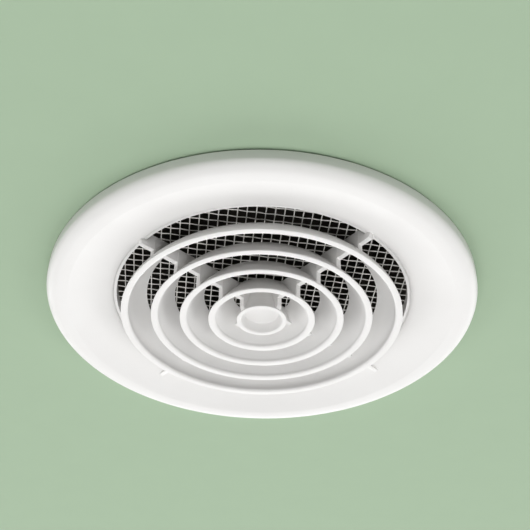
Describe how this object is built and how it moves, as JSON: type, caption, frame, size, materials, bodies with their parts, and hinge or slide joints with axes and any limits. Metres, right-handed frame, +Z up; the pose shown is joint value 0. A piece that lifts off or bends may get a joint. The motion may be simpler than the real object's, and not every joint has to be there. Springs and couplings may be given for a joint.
{
  "type": "ceiling air diffuser",
  "caption": "Round white ceiling air diffuser with concentric conical louvres, a woven insect mesh, a round duct neck and folding spring clips.",
  "frame": {"origin": "centre of the bezel's back face, on the ceiling plane", "axes": "+Z up into the ceiling along the neck; +X and +Y lie in the ceiling plane"},
  "size_m": [0.176, 0.176, 0.0623],
  "materials": {
    "white_plastic": "smooth satin-gloss injection-moulded plastic",
    "spigot_plastic": "plain moulded plastic",
    "mesh_wire": "plastic-coated woven wire",
    "foam_seal": "closed-cell foam",
    "zinc_plated_steel": "bright zinc plating on pressed steel",
    "spring_steel": "oiled spring steel",
    "pad_rubber": "soft black rubber"
  },
  "bodies": {
    "frame": {"bezel": "white_plastic", "ceiling_gasket": "foam_seal", "louvre_ring_1": "white_plastic", "louvre_ring_2": "white_plastic", "louvre_ring_3": "white_plastic", "louvre_ring_4": "white_plastic", "centre_cup": "white_plastic", "rib_spider": "white_plastic", "mesh_border": "white_plastic", "mesh_warp_wires": "mesh_wire", "mesh_weft_wires": "mesh_wire", "duct_spigot": "spigot_plastic", "duct_end_seal": "foam_seal", "spigot_screws": "zinc_plated_steel", "clip_rivets": "zinc_plated_steel", "clip_bracket_1": "zinc_plated_steel", "clip_pin_1": "spring_steel", "clip_spring_1": "spring_steel", "clip_bracket_2": "zinc_plated_steel", "clip_pin_2": "spring_steel", "clip_spring_2": "spring_steel", "clip_bracket_3": "zinc_plated_steel", "clip_pin_3": "spring_steel", "clip_spring_3": "spring_steel"},
    "clip_1": {"clip_arm_1": "zinc_plated_steel", "clip_pad_1": "pad_rubber"},
    "clip_2": {"clip_arm_2": "zinc_plated_steel", "clip_pad_2": "pad_rubber"},
    "clip_3": {"clip_arm_3": "zinc_plated_steel", "clip_pad_3": "pad_rubber"}
  },
  "joints": [
    {"name": "clip_hinge_1", "type": "hinge", "parent": "frame", "child": "clip_1", "pos_m": [0.06181, 0.02882, 0.0135], "axis": [0.4226, -0.9063, 0], "range_deg": [0, 110], "stiffness_Nm_per_rad": 0.03, "springref_deg": -68.75, "deforming": ["clip_spring_1"]},
    {"name": "clip_hinge_2", "type": "hinge", "parent": "frame", "child": "clip_2", "pos_m": [-0.05587, 0.03912, 0.0135], "axis": [0.5736, 0.8192, 0], "range_deg": [0, 110], "stiffness_Nm_per_rad": 0.03, "springref_deg": -68.75, "deforming": ["clip_spring_2"]},
    {"name": "clip_hinge_3", "type": "hinge", "parent": "frame", "child": "clip_3", "pos_m": [-0.00594, -0.06794, 0.0135], "axis": [-0.9962, 0.0872, 0], "range_deg": [0, 110], "stiffness_Nm_per_rad": 0.03, "springref_deg": -68.75, "deforming": ["clip_spring_3"]}
  ]
}
